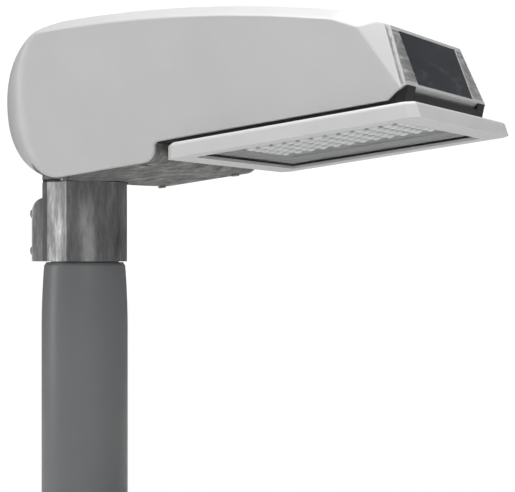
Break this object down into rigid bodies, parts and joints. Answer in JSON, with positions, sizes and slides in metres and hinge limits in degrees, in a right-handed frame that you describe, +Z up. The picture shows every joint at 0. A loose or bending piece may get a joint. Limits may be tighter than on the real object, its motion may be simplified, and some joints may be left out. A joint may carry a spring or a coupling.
{
  "type": "solar street lamp",
  "caption": "Wedge-shaped solar street lamp head on a swaged pole section, with a swivel collar, a glazed nose and a hinged light tray below.",
  "frame": {"origin": "centre of the pole section's lower end, on the pole's axis", "axes": "+Z up the pole, +X from the tail to the nose of the head, +Y across it"},
  "size_m": [0.4173, 0.206, 0.4275],
  "materials": {
    "pole_paint": "satin grey paint, slightly mottled",
    "collar_cast": "raw sand-cast aluminium, fine grain",
    "steel_screw": "plain steel",
    "black_rubber": "black moulded rubber",
    "base_cast": "dull grey-green cast finish",
    "shell_paint": "light silver-grey powder coat",
    "bezel_paint": "grey powder coat",
    "window_glass": "clear tempered glass",
    "solar_cell": "blue-black silicon cells",
    "backing": "black backing sheet",
    "black_frame": "black moulded plastic",
    "tray_paint": "light silver-grey powder coat",
    "tray_glass": "clear tempered glass",
    "board": "white-masked aluminium board",
    "chip": "yellow phosphor",
    "lens_plastic": "clear acrylic",
    "reflector": "satin aluminium sheet",
    "sink": "extruded aluminium",
    "battery_wrap": "blue shrink wrap",
    "cradle": "black moulded plastic",
    "electronics_case": "dark grey moulded case",
    "terminal": "green moulded plastic"
  },
  "bodies": {
    "pole": {"pole_section": "pole_paint"},
    "head": {"spigot_collar": "collar_cast", "set_screws": "steel_screw", "neck_gasket": "black_rubber", "neck_bolts": "steel_screw", "rear_base": "base_cast", "base_screws": "steel_screw", "housing_shell": "shell_paint", "nose_bezel": "bezel_paint", "nose_glass": "window_glass", "nose_cells": "solar_cell", "nose_backing": "backing", "roof_glass": "window_glass", "roof_seal": "black_rubber", "roof_cells": "solar_cell", "base_frame": "black_frame", "latch_pin": "steel_screw", "tray_seal": "black_rubber", "hinge_pins": "steel_screw", "battery_cells": "battery_wrap", "battery_cradle": "cradle", "battery_straps": "cradle", "charge_controller": "electronics_case", "led_driver": "electronics_case", "terminal_block": "terminal"},
    "tray": {"tray_frame": "tray_paint", "latch_keepers": "tray_paint", "tray_glass": "tray_glass", "glass_bead": "black_rubber", "led_board": "board", "led_chips": "chip", "lens_plate": "lens_plastic", "lens_screws": "steel_screw", "reflector_plate": "reflector", "heat_sink": "sink"},
    "latch": {"latch_bar": "black_frame"}
  },
  "joints": [
    {"name": "head_swivel", "type": "hinge", "parent": "pole", "child": "head", "pos_m": [0, 0, 0.25], "axis": [0, 0, 1], "continuous": true},
    {"name": "tray_hinge", "type": "hinge", "parent": "head", "child": "tray", "pos_m": [0.13745, 0, 0.31503], "axis": [0, 1, 0], "range_deg": [0, 85]},
    {"name": "latch_pivot", "type": "hinge", "parent": "head", "child": "latch", "pos_m": [0.34068, 0, 0.34835], "axis": [0, -1, 0], "range_deg": [0, 35]}
  ]
}
